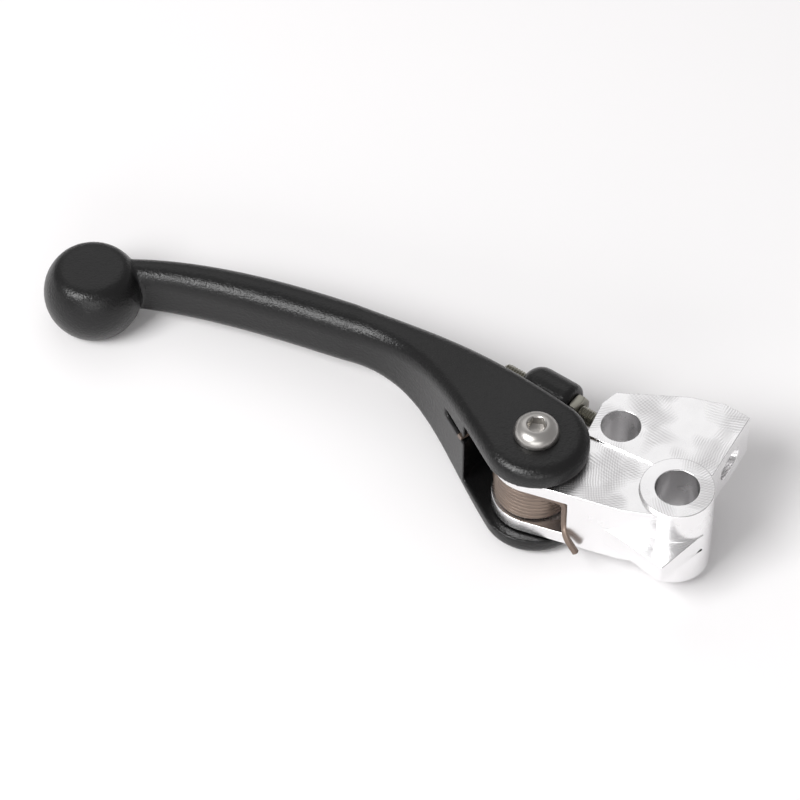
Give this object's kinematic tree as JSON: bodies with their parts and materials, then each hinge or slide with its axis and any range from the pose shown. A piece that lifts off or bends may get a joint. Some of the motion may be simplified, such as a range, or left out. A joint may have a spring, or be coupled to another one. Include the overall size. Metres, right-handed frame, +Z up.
{
  "type": "motorcycle clutch lever",
  "caption": "Folding hand lever: a forked blade with a ball end, sprung against a stop screw on a machined bracket with a pivot boss and a pushrod barrel bore.",
  "frame": {"origin": "on the axis of the bracket's pivot bore, in the blade's plane of symmetry", "axes": "+Z up along the pivot bore, +X the way the pushrod leaves; the blade runs back along -X"},
  "size_m": [0.168, 0.0735, 0.0327],
  "materials": {
    "machined_aluminium": "milled, bright",
    "black_anodised": "satin black anodised",
    "stainless_steel": "polished",
    "sleeve_steel": "ground",
    "bush_bronze": "turned",
    "spring_steel": "oil tempered, brown",
    "zinc_steel": "zinc plated"
  },
  "bodies": {
    "bracket": {"bracket": "machined_aluminium", "upper_bush": "bush_bronze", "lower_bush": "bush_bronze", "torsion_spring": "spring_steel"},
    "sleeve": {"pivot_sleeve": "sleeve_steel"},
    "blade": {"blade": "black_anodised", "pivot_bolt": "stainless_steel"},
    "stop_screw": {"stop_screw": "zinc_steel"},
    "lock_nut": {"lock_nut": "zinc_steel"}
  },
  "joints": [
    {"name": "fold", "type": "hinge", "parent": "bracket", "child": "sleeve", "pos_m": [-0.0328, 0.0068, 0], "axis": [0, 0, 1], "range_deg": [0, 80], "stiffness_Nm_per_rad": 0.25, "springref_deg": -68.75, "deforming": ["torsion_spring"]},
    {"name": "reach_swing", "type": "hinge", "parent": "sleeve", "child": "blade", "pos_m": [-0.0328, 0.0068, 0], "axis": [0, 0, 1], "range_deg": [-5, 5]},
    {"name": "stop_screw_travel", "type": "slide", "parent": "blade", "child": "stop_screw", "axis": [0.8829, -0.4695, 0], "range_m": [-0.0016, 0.0016]},
    {"name": "lock_nut_turn", "type": "hinge", "parent": "blade", "child": "lock_nut", "pos_m": [-0.02407, 0.02322, 0.0032], "axis": [0.8829, -0.4695, 0], "range_deg": [-180, 180]}
  ],
  "couplings": [
    {"joint": "stop_screw_travel", "follows": "reach_swing", "m_per_rad": 0.01762}
  ]
}
